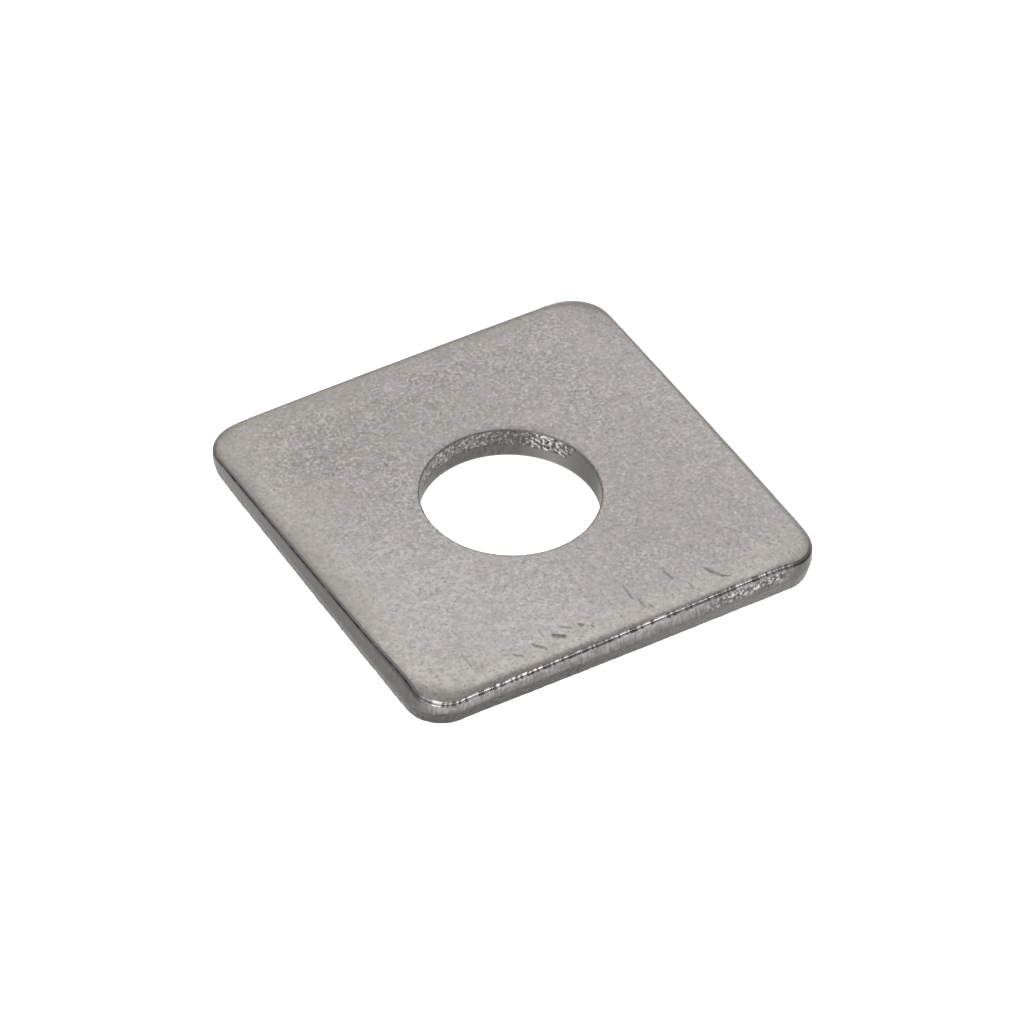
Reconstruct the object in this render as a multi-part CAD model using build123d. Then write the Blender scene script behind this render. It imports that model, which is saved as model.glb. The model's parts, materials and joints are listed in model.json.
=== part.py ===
from build123d import *
import os
from math import cos, radians, sin

# Square plate washer: one piece, blanked and pierced from stainless plate, then tumbled.
# Millimetres, +Z up. The origin is the centre of the bore on the plate's underside.

# Plate
side = 45.0                # across the middle of two opposite sides
thickness = 3.5
corner_radius = 4.1        # of the sheared wall, seen from above
side_bow = 0.1             # a side's middle stands out from its ends by this much

# Upper outer edge: the die drew the face down before it cut, so the face rolls over to a crease.
# The section of the roll is a quarter of an ellipse, which the sheared wall cuts short.
roll_width = 1.3           # half-width of that ellipse, across the edge
roll_depth = 1.3           # half-height of that ellipse
roll_overhang = 0.25       # the ellipse's end lies outside the wall by this much
roll_root_corner = 4.2     # corner radius at the ellipse's end
roll_face_corner = 6.2     # corner radius of the flat that is left on the face
roll_sections = 7

# Sheared wall: burnished and leaning in a little above, torn and tapering in below. The punch sat turned
# in its die, so the burnished part is turned as well, and the crease climbs along each side.
burnish_floor = 1.75       # height above the underside where the tear begins
wall_lean = 0.25           # the burnished wall leans in by this much up at the face
wall_twist = 1.0           # and is turned there by this many degrees
wall_head_corner = 3.6     # and has this corner radius there
tear_taper = 0.43          # the tear runs in by this much down to the underside
foot_round = 0.36          # lower edge, rounded by tumbling

# Bore, pierced from the underside, so that its roll is below and its tear above
bore_diameter = 17.7
bore_roll_width = 0.34
bore_roll_depth = 0.8
bore_burnish_top = 1.5     # height above the underside where the tear begins
bore_tear_step = 0.02      # the tear is this much wider, on the radius, than the burnished land
bore_rim_round = 0.22      # upper rim, rounded by tumbling


def plate_outline(inset, corner):
    """The square with bowed sides and rounded corners, drawn in by inset."""
    middle = side / 2 - inset
    end = middle - side_bow
    ends = [(-end, -end), (end, -end), (end, end), (-end, end)]
    middles = [(0, -middle), (middle, 0), (0, middle), (-middle, 0)]
    sides = Curve() + [ThreePointArc(ends[k], middles[k], ends[(k + 1) % 4]) for k in range(4)]
    square = make_face(sides)
    return fillet(square.vertices(), corner)


def sheared_blank():
    """Leaning burnished wall over the torn, tapering one, with the lower edge rounded."""
    wall = Pos(0, 0, burnish_floor) * plate_outline(0, corner_radius)
    foot = plate_outline(tear_taper, corner_radius - tear_taper)
    head = Pos(0, 0, thickness) * Rot(Z=wall_twist) * plate_outline(wall_lean, wall_head_corner)
    torn = loft([foot, wall], ruled=True)
    burnished = loft([wall, head], ruled=True)
    blank = torn + burnished
    lower_edges = blank.edges().group_by(Axis.Z)[0]
    return fillet(lower_edges, foot_round)


def roll_section(angle):
    """Section of the rolled face at an angle round its ellipse: 0 at the face, 90 at its end."""
    drawn_in = 1 - sin(radians(angle))
    inset = roll_width * drawn_in - roll_overhang
    corner = roll_root_corner + (roll_face_corner - roll_root_corner) * drawn_in
    height = thickness - roll_depth * (1 - cos(radians(angle)))
    return Pos(0, 0, height) * plate_outline(inset, corner)


def rolled_face():
    """The pillow that the punch drew: its upper edge rolls over, and its sides go down past the wall."""
    angles = [90 * k / (roll_sections - 1) for k in range(roll_sections)]
    root = roll_section(90)
    return loft([roll_section(angle) for angle in angles]) + extrude(root, -(thickness - roll_depth))


def bore_tool():
    """Everything that the punch left open, revolved about the bore's axis."""
    radius = bore_diameter / 2
    tear_radius = radius + bore_tear_step
    rim_height = thickness - bore_rim_round
    roll_centre = (radius + bore_roll_width, bore_roll_depth)
    section = Curve() + [
        Line((0, 0), (radius + bore_roll_width, 0)),
        EllipticalCenterArc(roll_centre, bore_roll_width, bore_roll_depth, start_angle=180, arc_size=90),
        Line((radius, bore_roll_depth), (radius, bore_burnish_top)),
        Line((radius, bore_burnish_top), (tear_radius, bore_burnish_top + bore_tear_step)),
        Line((tear_radius, bore_burnish_top + bore_tear_step), (tear_radius, rim_height)),
        CenterArc((tear_radius + bore_rim_round, rim_height), bore_rim_round, 90, 90),
        Line((tear_radius + bore_rim_round, thickness), (0, thickness)),
        Line((0, thickness), (0, 0)),
    ]
    return revolve(Plane.XZ * make_face(section), Axis.Z)


square_washer = (sheared_blank() & rolled_face()) - bore_tool()

os.makedirs("parts", exist_ok=True)
export_step(square_washer, "parts/square_washer.step")
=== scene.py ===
# %% [markdown]
# # A square plate washer, as the press left it
#
# The real part is a single stamping. A die drew the upper edge down before it cut, so the face rolls over to
# a crease; below the crease the wall is burnished for a while and then torn. The bore was pierced from the
# other side, so there the roll is below and the tear above. Barrel tumbling made the faces matt and broke the
# sharp edges. This lesson models those traces as geometry, and keeps the finish for the material.

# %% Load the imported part
import json
from math import atan2, cos, hypot, pi, radians, sin, sqrt, tau

import bmesh
import bpy
from mathutils import Matrix, Vector, noise


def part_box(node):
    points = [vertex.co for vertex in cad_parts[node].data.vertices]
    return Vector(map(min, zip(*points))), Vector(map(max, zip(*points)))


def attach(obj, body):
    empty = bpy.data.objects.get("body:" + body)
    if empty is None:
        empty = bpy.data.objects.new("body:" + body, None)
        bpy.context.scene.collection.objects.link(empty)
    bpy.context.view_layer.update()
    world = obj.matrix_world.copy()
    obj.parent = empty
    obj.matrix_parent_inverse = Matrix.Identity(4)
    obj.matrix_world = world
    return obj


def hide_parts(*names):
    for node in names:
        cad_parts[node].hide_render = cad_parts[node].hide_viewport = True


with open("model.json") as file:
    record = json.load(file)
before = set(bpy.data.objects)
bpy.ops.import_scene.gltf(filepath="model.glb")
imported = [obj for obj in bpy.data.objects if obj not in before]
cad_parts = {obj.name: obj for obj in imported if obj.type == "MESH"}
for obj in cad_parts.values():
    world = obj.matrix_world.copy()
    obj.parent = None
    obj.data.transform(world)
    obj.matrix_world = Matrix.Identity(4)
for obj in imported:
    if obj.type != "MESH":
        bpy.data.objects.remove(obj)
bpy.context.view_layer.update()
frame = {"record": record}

# %% [markdown]
# ## Sizes
#
# The plate's side, thickness and bore come from the part itself. What the press did to its edges is written
# here in millimetres, because those are the sizes a toolmaker would quote.

# %% Sizes of the plate and of its sheared edges
MM = 0.001
low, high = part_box("square_washer")
bore = next(mount for mount in frame["record"]["mounts"] if mount["name"] == "bore")
half = (high.x - low.x) / 2 / MM
thickness = (high.z - low.z) / MM
bore_radius = bore["dims"]["r_mm"]

corner_radius = 4.1          # of the sheared wall, from above
side_bow = 0.1               # the middle of a side stands out from its ends

roll_width = 1.3             # the roll's section is a quarter ellipse: its half-width
roll_depth = 1.3             # and its half-height
roll_overhang = 0.25         # the ellipse ends this far outside the wall
roll_root_corner = 4.2       # corner radius at the ellipse's end
roll_face_corner = 6.2       # corner radius of the flat left on the face

wall_lean = 0.25             # the burnished wall leans in by this much up at the face
wall_twist = radians(1.0)    # and is turned there, as the punch was in its die, so that the crease climbs
wall_head_corner = 3.6       # corner radius up there
tear_height = 1.75           # outer wall: the tear starts here and runs in on its way down
tear_taper = 0.43            # by this much
foot_round = 0.36            # the lower edge, rounded by tumbling

bore_roll_width = 0.22       # the bore's roll is at its lower end: half-width of its quarter ellipse
bore_roll_depth = 0.6        # and its half-height
bore_tear_height = 1.5       # the bore's tear starts here and runs up to the rim
bore_tear_step = 0.02        # it is this much wider, on the radius, than the smooth land below it
bore_rim_round = 0.16        # the upper rim, rounded by tumbling
print(f"plate {2 * half:.2f} x {thickness:.2f} mm, bore radius {bore_radius:.2f} mm")

# %% [markdown]
# ## The outline as a family of rings
#
# A circle and a rounded square are the same curve with another corner radius: when the corner radius equals
# the reach to the middle of a side, the square is a circle. So every ring of the washer, from the bore to the
# wall, is one rounded square whose corners get tighter on the way out. Points are spread evenly along a ring.

# %% One point of one ring
circle_reach = bore_radius + 1.6     # rings up to here stay circles
perimeter = 8 * (half - corner_radius) + tau * corner_radius


def smooth_step(start, end, value):
    """0 up to the start, 1 from the end on, and a smooth S between; the start may be the larger one."""
    t = min(max((value - start) / (end - start), 0.0), 1.0)
    return t * t * (3 - 2 * t)


def ring_corner(reach):
    """Corner radius of the ring whose sides lie this far out."""
    squareness = smooth_step(circle_reach, half, reach)
    return reach + (corner_radius - reach) * squareness


def ring_point(turn, reach, corner):
    """Where a ring is after a fraction of a full turn from +X, and which way it faces there."""
    quarter, part = divmod(turn % 1.0 * 4, 1)
    straight, arc = reach - corner, corner * pi / 2
    run = part * (2 * straight + arc)
    if run < straight:
        point, facing = Vector((reach, run)), Vector((1, 0))
    elif run < straight + arc:
        facing = Vector((cos((run - straight) / corner), sin((run - straight) / corner)))
        point = Vector((straight, straight)) + corner * facing
    else:
        point, facing = Vector((2 * straight + arc - run, reach)), Vector((0, 1))
    # The sides bow: towards the corners they draw in.
    slim = min(abs(point.x), abs(point.y)) / max(abs(point.x), abs(point.y))
    point *= 1 - (1 - corner / reach) * side_bow / half * slim * slim
    about_z = Matrix.Rotation(quarter * pi / 2, 2)
    return about_z @ point, about_z @ facing


print(f"rings are circles up to {circle_reach:.2f} mm; the outermost is {perimeter:.1f} mm round")

# %% [markdown]
# ## How high the face is
#
# The roll is a pillow whose sections shrink as they climb. For a point on the face, one equation tells which
# section runs through it, and so how far in from the pillow's end it lies. Along a side that is a distance;
# round a corner it is the root of a quadratic, because the section's corner radius changes too.

# %% Height of the rolled face
face_sink = 0.03         # the face lies this much low, so that thrown-up metal stays inside the part's box
crown_reach = 3.0        # beyond the roll itself, the face bends down gently over this distance from the edge
crown_drop = 0.10        # by this much at the edge


def drawn_in(x, y):
    """How far in from the pillow's end a point lies: 0 at its end, 1 or more on the flat."""
    u, v = abs(x), abs(y)
    bowed = half - side_bow * (min(u, v) / half) ** 2
    along_side = (bowed + roll_overhang - max(u, v)) / roll_width
    spread = roll_face_corner - roll_root_corner
    centre = half - side_bow + roll_overhang - roll_root_corner
    travel = roll_width + spread
    if min(u, v) <= centre - travel * along_side:
        return along_side
    a = 2 * travel ** 2 - spread ** 2
    b = 2 * travel * (u + v - 2 * centre) - 2 * roll_root_corner * spread
    c = (u - centre) ** 2 + (v - centre) ** 2 - roll_root_corner ** 2
    return (sqrt(max(b * b - 4 * a * c, 0.0)) - b) / (2 * a)


def face_height(x, y):
    """Height of the face above the underside, without the furrows and the sag at the bore."""
    inward = drawn_in(x, y)
    t = min(max(inward, 0.0), 1.0)
    rolled = 1 - sqrt(1 - (1 - t) ** 2)
    bend = max(1 - (inward * roll_width - roll_overhang) / crown_reach, 0.0) ** 2
    return thickness - face_sink - crown_drop * bend - (roll_depth - crown_drop) * rolled


print(f"face {face_height(14, 0):.2f} mm up; 1 mm in from its edge {face_height(0, 1 - half):.2f} mm")

# %% [markdown]
# ## Traces of the shear
#
# The edge repeats nowhere, but it is not random either: the burnished band is scored by vertical lines where
# the die slid, and the tear below starts at a ragged line. Noise is read on a cylinder as long round as the
# plate's perimeter, so it has no seam and its wavelengths are true millimetres.

# %% Noise along the sheared walls
noise_radius = perimeter / tau
wall_seed_step = 17.3        # each seed reads the noise this much further up, where it is unlike the others
torn_seed_step = 31.7
torn_fade = 0.6              # torn metal has several octaves: how fast they weaken
torn_finer = 2.1             # how much finer each is than the one before
torn_octaves = 3


def wall_noise(turn, height, along_mm, down_mm, seed):
    """Smooth noise from -1 to 1, with its own wavelength along the wall and down it."""
    about = tau * turn
    place = Vector((noise_radius * cos(about), noise_radius * sin(about), 0)) / along_mm
    place.z = height / down_mm + wall_seed_step * seed
    return noise.noise(place)


def wavering(base, turn, waves):
    """A value that wavers along the wall; each wave has a size, a wavelength in mm and a seed."""
    return sum((size * wall_noise(turn, 0, length, 1, seed) for size, length, seed in waves), base)


def torn_noise(turn, height, grain_mm, seed):
    """Rougher noise for a torn face."""
    about = tau * turn
    place = Vector((noise_radius * cos(about), noise_radius * sin(about), height)) / grain_mm
    place.z += torn_seed_step * seed
    return noise.fractal(place, torn_fade, torn_finer, torn_octaves)


print(f"noise is read on a cylinder of {noise_radius:.2f} mm radius")

# %% [markdown]
# ## Section of the edge
#
# The roll does not meet the wall in a clean corner. Along the front side it ends in a small burnished lip,
# beaded where the metal stuck and slipped on the die, with a notch under it: a broken bright line over a dark
# one, which the colour paints in too, as painted glints on the beads and painted shade in the notch. Along
# the other sides it ends in a plain step down to the wall's upper edge, with painted shade under it. Each
# section is written as a few points, inward from the wall and down from the crease, and near the corners one
# turns into the other.

# %% Section of the outer wall, from the lip down to the foot
lip_section = [(0.30, 0.0), (0.265, 0.03), (0.235, 0.065), (0.21, 0.105), (0.195, 0.15), (0.20, 0.185),
               (0.225, 0.205), (0.205, 0.235), (0.10, 0.27), (0.02, 0.32)]
lip_painted_shade = [0, 0, 0, 0, 0, 0.3, 0.85, 0.85, 0.3, 0]  # painted shade: how dark each point is painted, darkest in the notch
step_section = [(0.30, 0.0), (0.25, 0.025), (0.205, 0.055), (0.17, 0.09), (0.145, 0.13), (0.125, 0.17),
                (0.085, 0.205), (0.045, 0.235), (0.02, 0.27), (0.010, 0.33)]
# painted shade under the plain step: how dark each point is painted
step_painted_shade = [0, 0, 0, 0.05, 0.45, 0.9, 0.9, 0.6, 0.15, 0]
lip_rows = len(lip_section)
bead_rows = 5                # of these, the first few belong to the beaded lip
wall_rows = 18
wall_gather = 0.9            # a power below 1 moves the wall's rows a little downwards
foot_rows = 5
outer_rows = lip_rows + wall_rows + foot_rows
lip_gap = 0.03               # the wall's first row lies this much below the lip's last one
crease_steps = 5             # so many steps find the crease

beads_from, beads_full = 0.30, 0.85      # how much the wall faces the front where the beads come in
beads_fade, beads_end = 16.5, 19.5       # between these places they fade out towards the right corner
bead_swell = 0.035
bead_waves = [(1.0, 0.55, 7), (0.7, 0.27, 8)]
crease_waves = [(0.035, 1.3, 5), (0.02, 0.45, 6)]
tear_waves = [(0.16, 2.6, 1), (0.10, 0.55, 2)]
tear_below, tear_above = 0.09, 0.07      # round its line the tear sets in over these heights

score_depth = 0.016          # the score marks are cut in from the part's own outline, never out
score_width, score_length = 0.33, 3.0
burnish_marks = 0.014        # how far they wave in and out on the burnish
step_marks = 0.006           # and above it
torn_grain_mm, torn_relief = 0.42, 0.035

galled_from, galled_to = 6.0, 18.5       # here the front side's wall seized in the die and tore high up
galled_in, galled_out = 5.0, 1.5         # that comes and goes over these distances along the side
galled_start, galled_full = 0.34, 0.50   # it starts between these depths below the crease
galled_fade, galled_end = 1.15, 1.65     # and ends between these
galled_grain_mm, galled_relief = 0.5, 0.07
galled_sink = 0.05           # the seized metal lies this much further in

chafed_turn = 0.604          # where the left side runs into the front corner, as a fraction of a turn from +X
chafe_depth = 0.2            # the wall leans in there by this much more
chafe_reach = 0.05           # and on both sides less and less over this fraction of a turn


def wall_at(turn, height):
    """The wall's outline at a height, and which way it faces: above the tear it leans in and turns."""
    outline, facing = ring_point(turn, half, corner_radius)
    head = Matrix.Rotation(wall_twist, 2) @ ring_point(turn, half - wall_lean, wall_head_corner)[0]
    climb = max(height - tear_height, 0.0) / (thickness - tear_height)
    chafed = chafe_depth * smooth_step(chafe_reach, 0.0, abs(turn - chafed_turn))
    return outline.lerp(head, climb) - chafed * climb * facing, facing


def crease_at(turn):
    """Where the roll ends above the wall, found in a few steps because the wall leans."""
    height = thickness
    for step in range(crease_steps):
        outline, facing = wall_at(turn, height)
        lip = outline - lip_section[0][0] * facing
        height = face_height(lip.x, lip.y)
    return lip, height


def beaded(turn):
    """1 where the roll ends in a beaded lip, along the front side; 0 where it ends in a plain step."""
    spot, facing = ring_point(turn, half, corner_radius)
    return smooth_step(beads_from, beads_full, -facing.y) * (1 - smooth_step(beads_fade, beads_end, spot.x))


def galled(turn, below_crease):
    """How badly the wall seized, from 0 to 1: a patch near the right end of the front side."""
    spot = ring_point(turn, half, corner_radius)[0]
    if spot.y > 1 - half:
        return 0.0
    comes = smooth_step(galled_from, galled_from + galled_in, spot.x)
    goes = smooth_step(galled_to - galled_out, galled_to, spot.x)
    starts = smooth_step(galled_start, galled_full, below_crease)
    ends = smooth_step(galled_fade, galled_end, below_crease)
    return comes * (1 - goes) * (starts * (1 - ends))


def lip_row(turn, row, crease, score, waver):
    """Distance in from the leaning wall and height of one row of the lip or the step."""
    lip_share = beaded(turn)
    pairs = zip(lip_section[row], step_section[row])
    inset, drop = (plain + (lip - plain) * lip_share for lip, plain in pairs)
    if row == 0:
        return inset, crease
    if row < bead_rows:
        inset -= bead_swell * lip_share * wavering(0.0, turn, bead_waves)
    else:
        inset -= step_marks * score
    return max(inset, 0.0) + score_depth, crease - drop + waver * row / lip_rows


def outer_wall(turn, row, crease):
    """Distance in from the leaning wall, height, and how torn the metal is, for one row of the wall."""
    score = wall_noise(turn, crease, score_width, score_length, seed=3)
    waver = wavering(0.0, turn, crease_waves)
    if row < lip_rows:
        inset, height = lip_row(turn, row, crease, score, waver)
        return inset, height, 0.0
    top = crease - lip_section[-1][1] - lip_gap + waver
    line = wavering(tear_height, turn, tear_waves)
    angle = 0.0
    if row < lip_rows + wall_rows:
        fall = ((row - lip_rows) / (wall_rows - 1)) ** wall_gather
        height = top + (foot_round - top) * fall
    else:
        angle = pi / 2 * (row - lip_rows - wall_rows + 1) / foot_rows
        height = foot_round * (1 - sin(angle))
    torn = 1 - smooth_step(line - tear_below, line + tear_above, height)
    below = max(line - max(height, foot_round / 2), 0.0)
    inset = tear_taper * below / tear_height + foot_round * (1 - cos(angle))
    calm = smooth_step(0.0, foot_round, height)
    seized = galled(turn, crease - height)
    marks = (1 - torn) * burnish_marks * score
    chips = torn * calm * torn_relief * torn_noise(turn, height, torn_grain_mm, seed=4)
    inset += marks + chips
    inset += seized * (galled_sink + galled_relief * torn_noise(turn, height, galled_grain_mm, seed=9))
    return max(inset, 0.0) + score_depth, height, max(torn, seized)


foot_inset = tear_taper * (tear_height - foot_round / 2) / tear_height + foot_round
front_turns = (0.64, 0.69, 0.75, 0.81, 0.86)     # a few places along the front side
print(f"{outer_rows} rows on the outer wall; the foot stands {foot_inset:.2f} mm in")
print("crease along the front side", [round(crease_at(turn)[1], 2) for turn in front_turns])

# %% [markdown]
# ## Section of the bore
#
# The bore was pierced from below: a small roll at the underside, a short smooth land, then a tear that runs
# up to the rim. This tear is coarse, with facets half a millimetre wide; glints and dark facets are painted
# on them, brightest in one place.

# %% Section of the bore, from the underside up to the rim
bore_roll_rows = 7
bore_wall_rows = 16
bore_rim_rows = 4
bore_rows = bore_roll_rows + bore_wall_rows + bore_rim_rows
rim_reach = 0.9          # round the bore the face sags towards the rim over this distance
rim_sag = 0.07           # by this much
rim_top = thickness - face_sink - rim_sag

clean_turn = 0.93        # round here the bore was sheared clean right up to the rim, with no tear
clean_from, clean_full = 0.66, 0.90      # cosines of the angle from there, where that begins and is complete
bore_waves = [(0.20, 2.2, 1), (0.12, 0.6, 2)]        # of the line where the tear starts, as on the wall
bore_tear_below, bore_tear_above = 0.06, 0.1
chip_size, chip_relief = 0.5, 0.13       # the hollows of the torn metal
chip_middle = 0.4        # this level of their noise leaves the radius as it is
pit_size, pit_relief = 0.27, 0.05
chips_fade = 0.14        # below the rim they fade out over this height
bore_seed_step = 23.1

painted_glint_turn = 0.105      # here the painted glints on the torn facets are strongest
painted_glint_reach = 0.055     # and on both sides less and less over this fraction of a turn


def bore_wall(turn, row):
    """Radius, height, and how torn the metal is, for one row of the bore."""
    if row <= bore_roll_rows:
        angle = pi / 2 * row / bore_roll_rows
        return bore_radius + bore_roll_width * (1 - sin(angle)), bore_roll_depth * (1 - cos(angle)), 0.0
    rim_height = rim_top - bore_rim_round
    if row <= bore_roll_rows + bore_wall_rows:
        angle = 0.0
        climb = (row - bore_roll_rows) / bore_wall_rows
        height = bore_roll_depth + (rim_height - bore_roll_depth) * climb
    else:
        angle = pi / 2 * (row - bore_roll_rows - bore_wall_rows) / bore_rim_rows
        height = rim_height + bore_rim_round * sin(angle)
    waves = [size * bore_noise(turn, 0, length, seed) for size, length, seed in bore_waves]
    line = sum(waves, bore_tear_height)
    line += thickness * smooth_step(clean_from, clean_full, cos(tau * (turn - clean_turn)))
    torn = smooth_step(line - bore_tear_below, line + bore_tear_above, height)
    calm = 1 - smooth_step(rim_top - chips_fade, rim_top, height)
    chips = chip_relief * (bore_chips(turn, height, chip_size) - chip_middle)
    chips += pit_relief * bore_noise(turn, height, pit_size, seed=4)
    radius = bore_radius + torn * (bore_tear_step + calm * chips) + bore_rim_round * (1 - cos(angle))
    return radius, height, torn * calm


def bore_noise(turn, height, grain_mm, seed):
    """Smooth noise from -1 to 1 on the bore, with the same wavelength all ways."""
    about = tau * turn
    height += bore_seed_step * seed
    place = Vector((bore_radius * cos(about), bore_radius * sin(about), height)) / grain_mm
    return noise.noise(place)


def bore_chips(turn, height, size_mm):
    """Distance to the nearest of many scattered points: a surface of little hollows, as on broken metal."""
    about = tau * turn
    place = Vector((bore_radius * cos(about), bore_radius * sin(about), height)) / size_mm
    return noise.voronoi(place)[0][0]


print(f"{bore_rows} rows in the bore; its rim is {rim_top:.2f} mm up")

# %% [markdown]
# ## Knocks on the face
#
# In the tumbling barrel the corners of other blanks struck this face, mostly along its front margin. Each
# knock is a short furrow with a little metal thrown up beside it. They are written as what one would measure
# with a rule on the plate: place, heading, length, width and depth.

# %% The furrows, in millimetres on the face
furrows = [
    # x, y, heading in degrees, length, width, depth
    (-15.5, -18.2, -90, 1.9, 0.20, 0.045),
    (-15.0, -18.6, -90, 1.6, 0.16, 0.030),
    (-14.6, -19.5, -112, 0.7, 0.18, 0.035),
    (-10.9, -20.1, -39, 0.8, 0.22, 0.040),
    (-8.7, -19.9, -52, 0.8, 0.26, 0.055),
    (-8.2, -20.5, -78, 0.4, 0.20, 0.040),
    (-7.5, -18.4, -93, 0.9, 0.20, 0.035),
    (-6.2, -19.7, -36, 1.1, 0.30, 0.070),
    (-5.0, -19.0, -37, 1.0, 0.22, 0.035),
    (-3.6, -19.4, -43, 0.3, 0.26, 0.060),
    (-2.7, -20.1, -66, 0.3, 0.20, 0.040),
    (2.6, -17.7, -93, 1.7, 0.20, 0.040),
    (3.0, -19.7, -90, 1.1, 0.20, 0.040),
    (3.6, -20.4, -66, 0.3, 0.20, 0.035),
    (7.2, -17.5, -78, 1.1, 0.22, 0.035),
    (6.1, -20.3, -112, 0.5, 0.18, 0.035),
    (8.4, -19.9, -92, 0.8, 0.20, 0.035),
    (11.0, -18.9, -64, 0.8, 0.26, 0.050),
    (11.4, -19.7, -57, 1.1, 0.20, 0.030),
    (12.0, -20.3, -35, 0.7, 0.20, 0.030),
    (-8.7, 9.2, -85, 0.3, 0.20, 0.040),
    (5.1, 18.0, -86, 0.3, 0.20, 0.040),
    (15.0, 3.7, -87, 0.3, 0.20, 0.040),
    (19.3, 0.8, -87, 0.3, 0.20, 0.040),
    (14.0, -6.7, -87, 0.3, 0.20, 0.040),
    (12.5, 2.6, -87, 0.3, 0.20, 0.040),
]
furrow_reach = 2.2       # a furrow is felt this many widths away from its line
furrow_far = 3           # a quick test leaves out what is further off than its length and this many widths
thrown_height = 0.35     # on its left, metal is thrown up by this share of its depth
thrown_from = 0.2        # starting this many widths from the line
face_start = bore_radius + bore_tear_step + bore_rim_round       # here the bore's rim meets the face


def furrow_place(x, y, furrow):
    """Distance from a furrow's line and on which side of it, both in widths; far off, a large number."""
    fx, fy, heading, length, width, depth = furrow
    if abs(x - fx) + abs(y - fy) > length + furrow_far * width:
        return 2 * furrow_reach, 0.0
    ahead, aside = cos(radians(heading)), sin(radians(heading))
    along = (x - fx) * ahead + (y - fy) * aside
    across = (y - fy) * ahead - (x - fx) * aside
    return hypot(max(abs(along) - length / 2, 0.0), across) / width, across / width


def knock_height(x, y):
    """Change of the face's height from the furrows near a point."""
    total = 0.0
    for furrow in furrows:
        away, side = furrow_place(x, y, furrow)
        if away < furrow_reach:
            depth = furrow[-1]
            thrown = thrown_height * smooth_step(thrown_from, 1.0, side)
            thrown *= smooth_step(furrow_reach, 1.0, away)
            dug = 1 - smooth_step(0.0, 1.0, away)
            total += depth * (thrown - dug)
    return min(total, face_sink)


def rim_height_change(x, y):
    """How far the face has sagged towards the bore's rim."""
    return -rim_sag * max(1 - (hypot(x, y) - face_start) / rim_reach, 0.0) ** 2


print(len(furrows), "furrows")

# %% [markdown]
# ## Spin a ring
#
# A washer could be cut from a cube with a boolean, but that leaves one flat face with no vertices to shape.
# It is spun instead: a rectangle for the section, its four edges divided into rows, and a quarter turn about
# the bore, which is copied round. That gives a clean grid of quads with a row wherever the edge needs one. A
# full turn in one go would do the same, but the operator slows down with every column that is already there.

# %% Section, and a spin
columns = 500
top_rows = 38
under_rows = 7
wall_cuts = 2            # at the wall each column is cut again this many times
margin = 2.0             # and so is the outermost part of the face
tiny = 1e-3              # mm: less than this apart is the same place

washer = bmesh.new()
bmesh.ops.create_grid(washer, x_segments=1, y_segments=1, size=0.5)
bmesh.ops.rotate(washer, cent=(0, 0, 0), matrix=Matrix.Rotation(pi / 2, 3, "X"), verts=washer.verts)
bmesh.ops.translate(washer, vec=(0.5, 0, 0.5), verts=washer.verts)
bmesh.ops.scale(washer, vec=(half - bore_radius, 1, thickness), verts=washer.verts)
bmesh.ops.translate(washer, vec=(bore_radius, 0, 0), verts=washer.verts)
bmesh.ops.delete(washer, geom=washer.faces[:], context="FACES_ONLY")


def section_rows(edge):
    """How many rows the section's edge is divided into."""
    middle = (edge.verts[0].co + edge.verts[1].co) / 2
    if middle.z > thickness - tiny:
        return top_rows
    if middle.z < tiny:
        return under_rows
    return outer_rows - 1 if middle.x > half - tiny else bore_rows


for edge in washer.edges[:]:
    bmesh.ops.subdivide_edges(washer, edges=[edge], cuts=section_rows(edge) - 1)
section = washer.verts[:] + washer.edges[:]
bmesh.ops.spin(washer, geom=section, cent=(0, 0, 0), axis=(0, 0, 1), dvec=(0, 0, 0), angle=tau / 4,
               steps=columns // 4, use_merge=False, use_normal_flip=False, use_duplicate=False)
for quarters in (1, 2):
    copied = bmesh.ops.duplicate(washer, geom=washer.verts[:] + washer.edges[:] + washer.faces[:])
    bmesh.ops.rotate(washer, cent=(0, 0, 0), matrix=Matrix.Rotation(quarters * tau / 4, 3, "Z"),
                     verts=[part for part in copied["geom"] if isinstance(part, bmesh.types.BMVert)])
bmesh.ops.remove_doubles(washer, verts=washer.verts, dist=tiny)
print(len(washer.verts), "vertices and", len(washer.faces), "faces after the spin")

# %% Finer columns at the wall, where the shear left its finest marks
def runs_round(edge):
    """True for an edge that runs round the ring, out at the wall or on the face's margin."""
    rings = [hypot(end.co.x, end.co.y) for end in edge.verts]
    round_it = abs(edge.verts[0].co.z - edge.verts[1].co.z) < tiny and abs(rings[0] - rings[1]) < tiny
    return round_it and rings[0] > half - margin and (rings[0] > half - tiny or edge.verts[0].co.z > tiny)


bmesh.ops.subdivide_edges(washer, edges=[edge for edge in washer.edges if runs_round(edge)], cuts=wall_cuts)
print(len(washer.faces), "faces after dividing the wall")

# %% [markdown]
# ## Push the ring out to a square
#
# Each vertex still knows where it stood on the plain ring, and that decides what becomes of it: on top and
# below it goes to its own rounded square, and on the walls it takes its row of the section. Some numbers are
# kept with each vertex for the material: how far in from the edge it is and how far below the crease, how
# torn the metal is, whether it belongs to a face, the bore or the beaded lip, how much painted shade it gets,
# how strongly glints and dark facets are painted on it, how deep a furrow runs there, and its place on the
# wall rolled up as a cylinder, where streaks can run straight down and meet without a seam.

# %% Shape every vertex
from_edge = washer.verts.layers.float.new("from_edge")
below_lip = washer.verts.layers.float.new("below_lip")
torn_metal = washer.verts.layers.float.new("torn_metal")
on_face = washer.verts.layers.float.new("on_face")
in_bore = washer.verts.layers.float.new("in_bore")
beaded_lip = washer.verts.layers.float.new("beaded_lip")
soot = washer.verts.layers.float.new("soot")
glitter = washer.verts.layers.float.new("glitter")
furrow_depth = washer.verts.layers.float.new("furrow_depth")
rolled_wall = washer.verts.layers.float_vector.new("rolled_wall")

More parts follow.
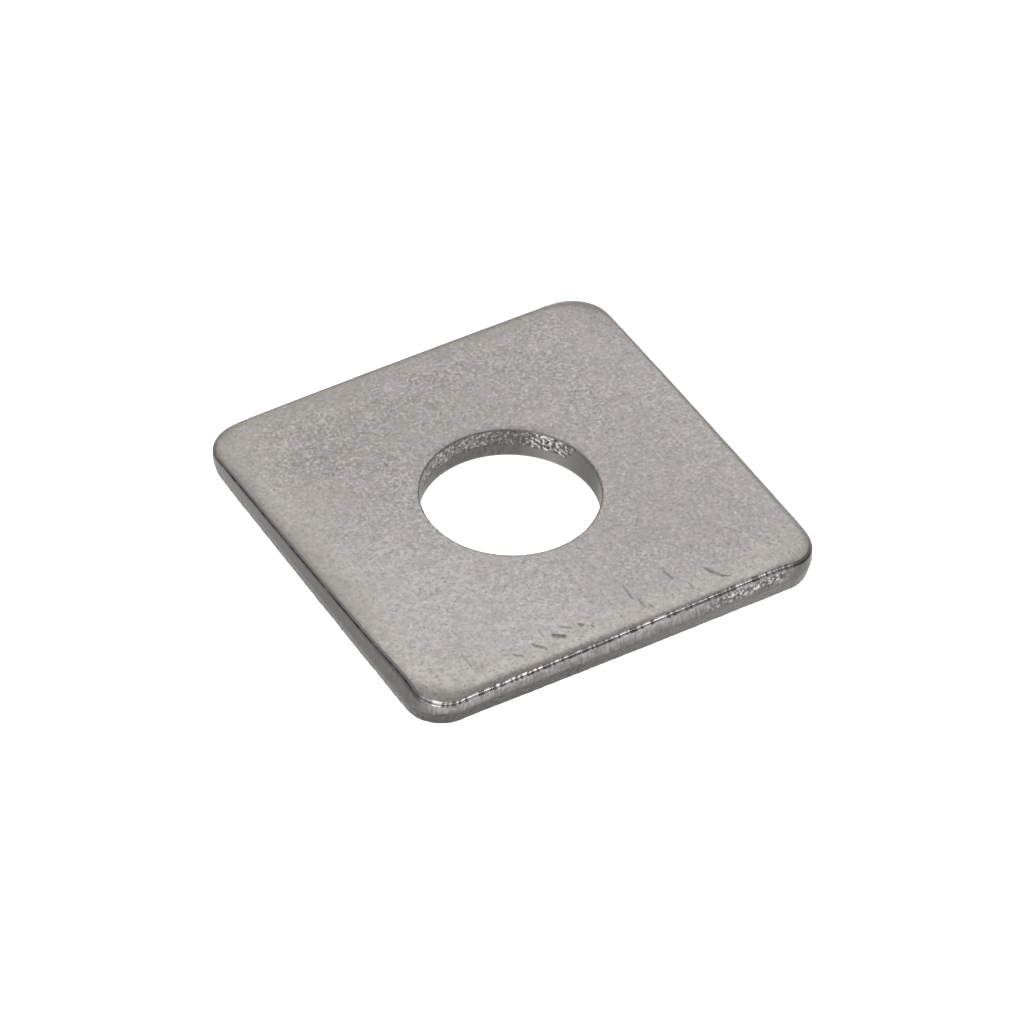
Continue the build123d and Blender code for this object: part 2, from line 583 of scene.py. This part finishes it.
face_end = half - lip_section[0][0]
lean_reach = 5.0         # the face follows the leaning wall over this distance from its edge
under_start = bore_radius + bore_roll_width
under_end = half - foot_inset
upper_rows = (face_start, face_end, 0.8)         # where a face's rows begin and end, and how much they gather
lower_rows = (under_start, under_end, 0.6)       # towards both

painted_shade_mean = 0.8          # along the crease the painted shade comes and goes in waves and in smaller spots
painted_shade_waves = [(0.5, 0.9, 11)]
painted_shade_spots, painted_shade_spot_size = 0.3, 0.35
tear_painted_shade = 0.5          # how dark the painted shade is along the line where the bore's tear starts
rim_tumbled = 0.5        # the bore's rim was tumbled too, and has this much of the face's finish
# How strongly glints and dark facets are painted on torn metal: painted highlight and painted shade.
galled_painted_facet_light = 0.65
bore_painted_facet_light = 0.42      # of the torn bore all round; where the painted glints are strongest it rises to 1


def spread(share, gather):
    """Moves even shares towards both ends, so that rows are close where the surface bends."""
    return share - gather * sin(tau * share) / tau


def patchy(turn, height):
    """How much painted shade a spot below the crease gets."""
    spots = painted_shade_spots * wall_noise(turn, height, painted_shade_spot_size, painted_shade_spot_size, seed=12)
    return wavering(painted_shade_mean, turn, painted_shade_waves) + spots


creases = {}             # by column: how far the roll's end is from the plain square, and its height


def column_crease(turn):
    """The crease of the column at a turn, worked out once."""
    column = round(turn * columns * (wall_cuts + 1))
    if column not in creases:
        lip, crease = crease_at(turn)
        creases[column] = (lip - ring_point(turn, face_end, ring_corner(face_end))[0], crease)
    return creases[column]


for vert in washer.verts:
    ring, height = hypot(vert.co.x, vert.co.y), vert.co.z
    turn = atan2(vert.co.y, vert.co.x) / tau % 1.0
    torn = 0.0
    inset = half
    slid = 0.0               # how far the turned wall carries this column along, as a fraction of a turn
    if ring > half - tiny:
        row = round((1 - height / thickness) * (outer_rows - 1))
        crease = column_crease(turn)[1]
        inset, z, torn = outer_wall(turn, row, crease)
        outline, facing = wall_at(turn, z)
        point = outline - inset * facing
        vert[below_lip] = crease - z
        vert[beaded_lip] = beaded(turn)
        if row < lip_rows:
            black = step_painted_shade[row] + (lip_painted_shade[row] - step_painted_shade[row]) * vert[beaded_lip]
            vert[soot] = patchy(turn, z) * black
        # painted glints and painted shade on the galled patch
        vert[glitter] = galled_painted_facet_light * galled(turn, crease - z)
        slid = wall_twist * half / perimeter * max(z - tear_height, 0.0) / (thickness - tear_height)
    elif ring < bore_radius + tiny:
        row = round(height / thickness * bore_rows)
        radius, z, torn = bore_wall(turn, row)
        point = Vector((radius * cos(tau * turn), radius * sin(tau * turn)))
        vert[in_bore] = 1.0
        vert[on_face] = rim_tumbled if row > bore_roll_rows + bore_wall_rows else 0.0
        # the painted glints on the bore's torn facets are strongest round one turn
        bright = smooth_step(painted_glint_reach, 0.0, abs(turn - painted_glint_turn))
        vert[glitter] = bore_painted_facet_light + (1 - bore_painted_facet_light) * bright
        vert[soot] = 4 * tear_painted_shade * torn * (1 - torn)       # painted shade along the tear's line, most where the metal is half torn
    else:
        on_top = height > thickness / 2
        start, end, gather = upper_rows if on_top else lower_rows
        reach = start + (end - start) * spread((ring - bore_radius) / (half - bore_radius), gather)
        point = ring_point(turn, reach, ring_corner(reach))[0]
        if on_top:
            point += column_crease(turn)[0] * smooth_step(face_end - lean_reach, face_end, reach)
        z = height
        inset = half - reach
        vert[on_face] = 1.0
    vert.co = (point.x, point.y, z)
    vert[from_edge] = inset
    vert[torn_metal] = torn
    about = tau * (turn + slid)
    vert[rolled_wall] = (noise_radius * cos(about), noise_radius * sin(about), z)
print(len(creases), "columns have their own crease")

# %% Finer mesh where a furrow is, then the upper face's height
furrow_cuts = 3


def on_upper_face(vert):
    """True on the upper face, without the bore's rim."""
    return vert[on_face] > rim_tumbled and vert.co.z > thickness / 2


struck = {
    vert for vert in washer.verts if on_upper_face(vert)
    and min(furrow_place(vert.co.x, vert.co.y, furrow)[0] for furrow in furrows) < furrow_reach}
near_furrow = [edge for edge in washer.edges if any(end in struck for end in edge.verts)
               and all(on_upper_face(end) for end in edge.verts)]
bmesh.ops.subdivide_edges(washer, edges=near_furrow, cuts=furrow_cuts, use_grid_fill=True)
for vert in washer.verts:
    if on_upper_face(vert):
        x, y = vert.co.xy
        knock = knock_height(x, y)
        vert.co.z = face_height(x, y) + rim_height_change(x, y) + knock
        vert[furrow_depth] = max(-knock, 0.0)
bmesh.ops.recalc_face_normals(washer, faces=washer.faces)
triangles = sum(len(face.verts) - 2 for face in washer.faces)
print(len(near_furrow), "edges divided near furrows;", triangles, "triangles in all")

# %% Hand the mesh over as a piece
bmesh.ops.scale(washer, vec=(MM, MM, MM), verts=washer.verts)
for face in washer.faces:
    face.smooth = True
washer_mesh = bpy.data.meshes.new("plate_washer")
washer.to_mesh(washer_mesh)
washer.free()
plate_washer = bpy.data.objects.new("plate_washer", washer_mesh)
bpy.context.scene.collection.objects.link(plate_washer)
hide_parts("square_washer")
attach(plate_washer, "root")
print(plate_washer.name, "has", len(washer_mesh.vertices), "vertices")

# %% [markdown]
# ## Tumbled stainless steel
#
# Rolled austenitic stainless plate, barrel tumbled with ceramic media. The metal is a neutral, faintly warm
# grey. Tumbling leaves a matt face peppered with tiny pits and bright specks, smoother along the margins
# where the media rubs hardest. Sheared metal is scored bright where the tool slid, and dark and rough where
# it tore.

# %% Colours and node helper
def srgb(text):
    """A hex colour as linear red, green, blue, alpha."""
    parts = [int(text[k:k + 2], 16) / 255 for k in (1, 3, 5)]
    return [part / 12.92 if part < 0.04045 else ((part + 0.055) / 1.055) ** 2.4 for part in parts] + [1]


def add(tree, kind, inputs, **settings):
    """Adds a node with its settings; an input is a value, or another node's output."""
    made = tree.nodes.new(kind)
    for name, value in settings.items():
        setattr(made, name, value)
    for name, value in inputs.items():
        if isinstance(value, bpy.types.NodeSocket):
            tree.links.new(value, made.inputs[name])
        else:
            made.inputs[name].default_value = value
    return made


# %% Where on the part a point is
steel = bpy.data.materials.new("tumbled_stainless_steel")
steel.use_nodes = True
tree = steel.node_tree
tree.nodes.clear()
place = add(tree, "ShaderNodeTexCoord", {}).outputs["Object"]
read = {name: add(tree, "ShaderNodeAttribute", {}, attribute_name=name)
        for name in ("from_edge", "below_lip", "beaded_lip", "soot", "glitter", "furrow_depth", "torn_metal",
                     "on_face", "in_bore", "rolled_wall")}
level = {name: node.outputs["Fac"] for name, node in read.items()}
# How many mm a point lies from the bore's axis, along a direction seen from above.
directions = [
    # name, x, y
    ("far_side", -0.5, 0.87),
    ("front_left", -0.7, -0.7),
    ("far_right", 0.52, 0.85),
]
for name, x, y in directions:
    level[name] = add(tree, "ShaderNodeVectorMath", {0: place, 1: (x / MM, y / MM, 0)},
                      operation="DOT_PRODUCT").outputs["Value"]
print(len(level), "things the material knows about a point")

# %% Patterns of the finish, as wide on the part as the sizes say
# The tumbled grain, its specks and the hairline scratches are really 0.05 to 0.1 mm wide, which is a pixel or
# less from this far away. They are drawn coarser, so that they show.
patterns = [
    # name, size in mm, detail, roughness of the detail
    ("grain", 0.30, 2.0, 0.60),
    ("specks", 0.30, 2.0, 0.60),
    ("mottle", 0.8, 3.0, 0.65),
    ("tint", 2.2, 1.0, 0.50),
    ("cloud", 9.0, 2.0, 0.50),
    ("torn_grain", 0.40, 2.0, 0.60),
    ("facets", 0.34, 2.0, 0.65),
]
for name, size, detail, rough in patterns:
    level[name] = add(tree, "ShaderNodeTexNoise", {
        "Vector": place, "Scale": 1 / (size * MM), "Detail": detail, "Roughness": rough}).outputs["Fac"]

# Some patterns are stretched. Those of the walls are read on the rolled wall, which is in mm already.
stretched = [
    # name, where it is read, turn about Z in degrees, size along the three axes
    ("scratches_a", place, 20, (0.16 * MM, 6.0 * MM, 6.0 * MM)),
    ("scratches_b", place, -28, (0.16 * MM, 4.5 * MM, 6.0 * MM)),
    ("scratches_c", place, 74, (0.16 * MM, 5.0 * MM, 6.0 * MM)),
    ("streaks", read["rolled_wall"].outputs["Vector"], 0, (0.18, 0.18, 0.9)),
    ("stains", read["rolled_wall"].outputs["Vector"], 0, (1.3, 1.3, 0.8)),
    ("land_marks", read["rolled_wall"].outputs["Vector"], 0, (0.9, 0.9, 1.2)),
    ("bead_gaps", read["rolled_wall"].outputs["Vector"], 0, (0.36, 0.36, 20.0)),
    ("bead_runs", read["rolled_wall"].outputs["Vector"], 0, (3.5, 3.5, 60.0)),
]
for name, source, turned, size in stretched:
    aligned = add(tree, "ShaderNodeMapping", {
        "Vector": source, "Rotation": (0, 0, radians(turned)), "Scale": [1 / part for part in size]})
    level[name] = add(tree, "ShaderNodeTexNoise", {
        "Vector": aligned.outputs["Vector"], "Scale": 1.0, "Detail": 1.0, "Roughness": 0.5}).outputs["Fac"]

# The burnish ends at a ragged line: the streaks decide how far down it reaches, by up to this many mm.
ragged_reach = 0.9
level["ragged"] = add(tree, "ShaderNodeMath", {0: level["streaks"], 1: -ragged_reach, 2: level["below_lip"]},
                      operation="MULTIPLY_ADD").outputs[0]
print(len(patterns) + len(stretched), "noise patterns")

# %% Shares: each says how much of a trace is present, from 0 to 1
# Those that are read from far_side, front_left or far_right change the tone with the place on the plate:
# they are painted light and shade, set to match the picture.
shares = [
    # name, what it is read from, where it starts, where it is full, how strong
    ("light grain", "grain", 0.44, 0.64, 0.65),
    ("dark grain", "grain", 0.46, 0.32, 0.50),
    ("dark specks", "specks", 0.36, 0.26, 0.42),
    ("bright specks", "specks", 0.66, 0.74, 0.30),
    ("dull patches", "mottle", 0.42, 0.62, 0.55),
    ("warm tint", "tint", 0.45, 0.70, 0.20),
    ("cool tint", "tint", 0.50, 0.28, 0.15),
    ("clouds", "cloud", 0.42, 0.62, 0.35),
    # far side and near side: painted shade on the face's far side, painted light on its near side
    ("far side", "far_side", 0.0, 16.0, 0.90),
    ("near side", "front_left", 2.0, 18.0, 0.90),
    # front left: where the margin gets its painted highlight
    ("front left", "front_left", -5.0, 7.0, 0.85),
    # far wall: painted shade on the far side of the walls and margin
    ("far wall", "far_side", -6.0, 6.0, 0.80),
    ("scratch a", "scratches_a", 0.70, 0.77, 0.20),
    ("scratch b", "scratches_b", 0.69, 0.76, 0.22),
    ("scratch c", "scratches_c", 0.31, 0.24, 0.22),
    ("margin", "from_edge", 4.6, 1.4, 0.70),
    # this margin band carries the painted shade of the far margin
    ("rubbed margin", "from_edge", 3.6, 0.9, 0.55),
    # brink: painted shade on the roll next to the crease
    ("brink", "from_edge", 0.90, 0.30, 0.40),
    # furrow: painted shade down in the dents
    ("furrow", "furrow_depth", 0.003, 0.035, 0.36),
    ("past brink", "below_lip", 0.30, 0.36, 1.0),
    # bead gaps and bead runs break up the painted glint along the lip
    ("bead gaps", "bead_gaps", 0.43, 0.56, 1.0),
    ("bead runs", "bead_runs", 0.20, 0.50, 1.0),
    ("streaks", "streaks", 0.62, 0.36, 0.42),
    ("stains", "stains", 0.44, 0.66, 0.40),
    ("upper wall", "ragged", 1.20, -0.10, 1.0),
    ("land marks", "land_marks", 0.36, 0.64, 1.0),
    # painted light and shade in the bore: lighter on one side, darker at its tips and far middle
    ("bright land", "far_side", 4.5, 0.5, 0.90),
    ("shaded land", "far_side", 0.0, -6.0, 1.0),
    ("bore sides", "far_right", 5.0, 0.5, 0.60),
    ("bore middle", "far_right", 8.35, 8.75, 0.32),
    # right part: painted light on the torn wall towards the front's right end
    ("right part", "front_left", 20.0, 8.0, 0.80),
    ("torn light", "torn_grain", 0.38, 0.66, 1.0),
    # dark facets and bright facets: where painted shade and painted glints lie on torn facets
    ("dark facets", "facets", 0.50, 0.36, 0.9),
    ("bright facets", "facets", 0.50, 0.64, 0.85),
]
share = {name: level[name] for name in ("beaded_lip", "soot", "glitter", "torn_metal", "on_face", "in_bore")}
for name, source, start, full, strength in shares:
    ramp = add(tree, "ShaderNodeMapRange", {
        "Value": level[source], "From Min": start, "From Max": full, "To Min": 0.0, "To Max": strength})
    share[name] = ramp.outputs[0]

products = [
    # name, first share, second share
    # painted highlight on the margin at the front left
    ("cream margin", "margin", "front left"),
    # painted shade on the far margin
    ("far margin", "rubbed margin", "far wall"),
    ("broken line", "bead gaps", "bead runs"),
    # painted glints along the beaded lip
    ("beads", "broken line", "beaded_lip"),
    # the front's upper wall lighter: partly burnish, partly painted light; also on the galled patch
    ("front burnish", "upper wall", "beaded_lip"),
    ("galled burnish", "front burnish", "glitter"),
    # painted shade in the bore, at its tips and far middle
    ("dim tips", "bore sides", "in_bore"),
    ("dim middle", "bore middle", "in_bore"),
    # painted shade and painted glints on the torn facets
    ("pits", "dark facets", "glitter"),
    ("glints", "bright facets", "glitter"),
]
for name, first, second in products:
    both = add(tree, "ShaderNodeMath", {0: share[first], 1: share[second]}, operation="MULTIPLY")
    share[name] = both.outputs[0]
print(len(share), "shares")

# %% Colours, laid over each other
face_layers = [
    # share, colour
    # painted shade on the far side of the face, painted light on its near side
    ("far side", "#7E7B76"),
    ("near side", "#A9A7A6"),
    ("margin", "#989592"),
    # painted highlight on the front-left margin
    ("cream margin", "#BAB6A9"),
    # painted shade on the roll next to the crease
    ("brink", "#7A756E"),
    ("light grain", "#BBB8B6"),
    ("dark grain", "#7B7876"),
    ("dull patches", "#93908F"),
    ("clouds", "#95928D"),
    ("warm tint", "#ADA4A3"),
    ("cool tint", "#A0A4A2"),
    ("scratch a", "#C9C6C3"),
    ("scratch b", "#C9C6C3"),
    ("scratch c", "#7E7B78"),
    # painted shade on the far margin
    ("far margin", "#837F7B"),
    ("dark specks", "#5D5A58"),
    ("bright specks", "#D2CFCC"),
    # painted shade down in the furrows
    ("furrow", "#4C4946"),
]
wall_layers = [
    # share, colour
    # painted shade on the far side of the wall
    ("far wall", "#5A5856"),
    # lighter upper wall on the front: partly its burnish, partly painted light
    ("front burnish", "#9E9C99"),
    ("streaks", "#5A5855"),
    ("stains", "#5A5856"),
]
torn_layers = [
    # share, colour
    ("torn light", "#5E5C5B"),
    # painted light on the torn wall towards the right
    ("right part", "#72706F"),
    # painted shade on the far side of the torn wall
    ("far wall", "#4E4C4B"),
    # lighter galled patch: partly burnish, partly painted light
    ("galled burnish", "#827F7D"),
    ("in_bore", "#6E6C6A"),
    # painted shade and painted glints on the torn facets
    ("pits", "#262422"),
    ("glints", "#F4F2EF"),
    # painted shade on the torn bore, at its tips and far middle
    ("dim tips", "#4E4C4A"),
    ("dim middle", "#44423F"),
]
land_layers = [
    # share, colour
    ("land marks", "#686665"),
    # painted light and shade on the bore's land: lighter on one side, darker at its tips
    ("bright land", "#82807E"),
    ("bore sides", "#3A3836"),
    ("shaded land", "#2C2A29"),
]
lip_layers = [
    # share, colour
    # The lip is lighter on the front, partly for its burnish and partly as painted highlight; the beads are
    # painted glints.
    ("beaded_lip", "#8A8783"),
    ("beads", "#F2F0EC"),
]
surfaces = [
    # name, colour of the bare surface, the layers over it
    ("face", "#8D8A89", face_layers),
    ("wall", "#6C6A68", wall_layers),
    ("torn", "#4C4A49", torn_layers),
    ("land", "#5A5856", land_layers),
    ("lip", "#767370", lip_layers),
]
# A colour mix takes the share at its socket 0, and the lower and the upper colour at 6 and 7.
tones = {}
for name, first, layers in surfaces:
    tone = srgb(first)
    for layer, colour in layers:
        laid = add(tree, "ShaderNodeMix", {0: share[layer], 6: tone, 7: srgb(colour)}, data_type="RGBA")
        tone = laid.outputs[2]
    tones[name] = tone
# The near-black layer is painted shade in the notch, under the step and along the bore's tear line.
joined = tones["lip"]
for layer, tone in (("past brink", tones["wall"]), ("in_bore", tones["land"]), ("torn_metal", tones["torn"]),
                    ("soot", srgb("#262422")), ("on_face", tones["face"])):
    joined = add(tree, "ShaderNodeMix", {0: share[layer], 6: joined, 7: tone}, data_type="RGBA").outputs[2]
print("surfaces:", ", ".join(tones))

# %% Roughness, bump and the shader
rough = 0.36             # of the brink; the others are laid over it, each by its share
rough_layers = [
    # share, roughness
    ("beaded_lip", 0.22),
    ("past brink", 0.34),
    ("torn_metal", 0.42),
    ("on_face", 0.42),
]
grain_height = 0.03      # mm
for layer, value in rough_layers:
    rough = add(tree, "ShaderNodeMix", {0: share[layer], 2: rough, 3: value}, data_type="FLOAT").outputs[0]
bump = add(tree, "ShaderNodeBump", {"Height": level["grain"], "Strength": 0.6, "Distance": grain_height * MM})
shader = add(tree, "ShaderNodeBsdfPrincipled", {
    "Base Color": joined, "Metallic": 1.0, "Roughness": rough, "Normal": bump.outputs["Normal"]})
add(tree, "ShaderNodeOutputMaterial", {"Surface": shader.outputs["BSDF"]})
plate_washer.data.materials.append(steel)
print(len(tree.nodes), "nodes in the metal")

# %% [markdown]
# ## The table and the light
#
# The plate lies on a light table: a sheet of opal acrylic that glows from below and so shows as plain white.
# A broad soft light behind and above is what the face mirrors. Two smaller ones, at the left and beside the
# near corner, lift the rolled edges there, and a low strip in front draws the bright line along the lip.

# %% Floor
table_half = 1.5         # metres
table_drop = 0.05        # mm: a hair low, so that it never shares a plane with the underside
glow_radius = 0.16       # metres: the lamp under the table lights a disc of this radius in full
glow_fade = 0.45         # and by here its light has faded out

floor_mesh = bpy.data.meshes.new("studio_floor")
floor_build = bmesh.new()
bmesh.ops.create_grid(floor_build, x_segments=1, y_segments=1, size=table_half)
floor_build.to_mesh(floor_mesh)
floor_build.free()
studio_floor = bpy.data.objects.new("studio_floor", floor_mesh)
bpy.context.scene.collection.objects.link(studio_floor)
studio_floor.location.z = -table_drop * MM

# Opal acrylic scatters all that passes through it: the eye sees one even white, with no lamp, grain or gloss.
acrylic = bpy.data.materials.new("opal_acrylic")
acrylic.use_nodes = True
acrylic_tree = acrylic.node_tree
table_place = add(acrylic_tree, "ShaderNodeTexCoord", {}).outputs["Object"]
from_middle = add(acrylic_tree, "ShaderNodeVectorMath", {0: table_place}, operation="LENGTH").outputs["Value"]
glow = add(acrylic_tree, "ShaderNodeMapRange", {
    "Value": from_middle, "From Min": glow_radius, "From Max": glow_fade, "To Min": 1.0, "To Max": 0.0})
table_shader = acrylic_tree.nodes["Principled BSDF"]
table_shader.inputs["Base Color"].default_value = srgb("#BEBEBE")
table_shader.inputs["Roughness"].default_value = 0.9
table_shader.inputs["Emission Color"].default_value = srgb("#FFFFFF")
acrylic_tree.links.new(glow.outputs[0], table_shader.inputs["Emission Strength"])
# The sheet has one side only: from below it is clear, so that the plate's underside can be seen as well.
side_seen = add(acrylic_tree, "ShaderNodeNewGeometry", {})
clear = add(acrylic_tree, "ShaderNodeBsdfTransparent", {})
one_sided = add(acrylic_tree, "ShaderNodeMixShader", {
    0: side_seen.outputs["Backfacing"], 1: table_shader.outputs["BSDF"], 2: clear.outputs["BSDF"]})
acrylic_tree.links.new(one_sided.outputs[0], acrylic_tree.nodes["Material Output"].inputs["Surface"])
floor_mesh.materials.append(acrylic)
print(f"light table {2 * table_half:.0f} m wide, {table_drop} mm below the plate")

# %% Lights
room_light = 0.46        # strength of the even light from all around
world = bpy.data.worlds.new("studio")
bpy.context.scene.world = world
world.use_nodes = True
world.node_tree.nodes["Background"].inputs["Color"].default_value = srgb("#FFFFFF")
world.node_tree.nodes["Background"].inputs["Strength"].default_value = room_light


def soft_light(name, azimuth, elevation, distance, width, height, power):
    """A rectangular light that faces the plate; azimuth 0 is in front of its front side, 90 at its right."""
    a, e = radians(azimuth), radians(elevation)
    away = Vector((sin(a) * cos(e), -cos(a) * cos(e), sin(e)))
    data = bpy.data.lights.new(name, "AREA")
    data.shape, data.size, data.size_y, data.energy = "RECTANGLE", width, height, power
    lamp = bpy.data.objects.new(name, data)
    bpy.context.scene.collection.objects.link(lamp)
    turned = away.to_track_quat("Z", "Y").to_matrix().to_4x4()
    lamp.matrix_world = Matrix.Translation(away * distance) @ turned


lights = [
    # name, azimuth and elevation in degrees, distance, width and height in metres, power in watts
    ("back_light", 147, 41.5, 0.9, 1.3, 0.5, 2.76),
    ("left_light", 214, 35, 0.9, 0.7, 0.5, 0.8),
    ("corner_light", -63, 50, 0.9, 0.6, 0.6, 2.0),
    ("front_strip", 24, 8, 0.8, 0.6, 0.06, 0.6),
]
for values in lights:
    soft_light(*values)
print("lights:", ", ".join(values[0] for values in lights))

# %% [markdown]
# ## Camera
#
# The view is that of a long lens from over half a metre away, three quarters from above, so that the sides
# hardly converge. Its place was worked out by laying the outline of a plate of these sizes over the picture.

# %% Camera
view_azimuth = radians(-31.357)      # counted as for the lights
view_elevation = radians(42.986)
view_roll = radians(1.522)
view_distance = 630.0        # mm, from the point looked at
view_target = (0.571, 0.571) # mm on the underside's plane
view_focal = 6461.0 / 1024   # focal length in widths of the picture
sensor_width = 36            # mm

back = Vector((sin(view_azimuth) * cos(view_elevation), -cos(view_azimuth) * cos(view_elevation),
               sin(view_elevation)))
sideways = (-back).cross(Vector((0, 0, 1))).normalized()
upright = sideways.cross(-back)
across = cos(view_roll) * sideways + sin(view_roll) * upright
above = cos(view_roll) * upright - sin(view_roll) * sideways
eye = (Vector((*view_target, 0)) + back * view_distance) * MM

camera_data = bpy.data.cameras.new("view")
camera_data.sensor_width = sensor_width
camera_data.lens = sensor_width * view_focal
camera = bpy.data.objects.new("view", camera_data)
bpy.context.scene.collection.objects.link(camera)
camera.matrix_world = Matrix.Translation(eye) @ Matrix((across, above, back)).transposed().to_4x4()
camera_data.clip_start, camera_data.clip_end = 0.01, 10
bpy.context.scene.camera = camera
bpy.context.scene.view_settings.view_transform = "Standard"
print(f"camera {view_distance:.0f} mm away, with a lens of {camera_data.lens:.0f} mm")
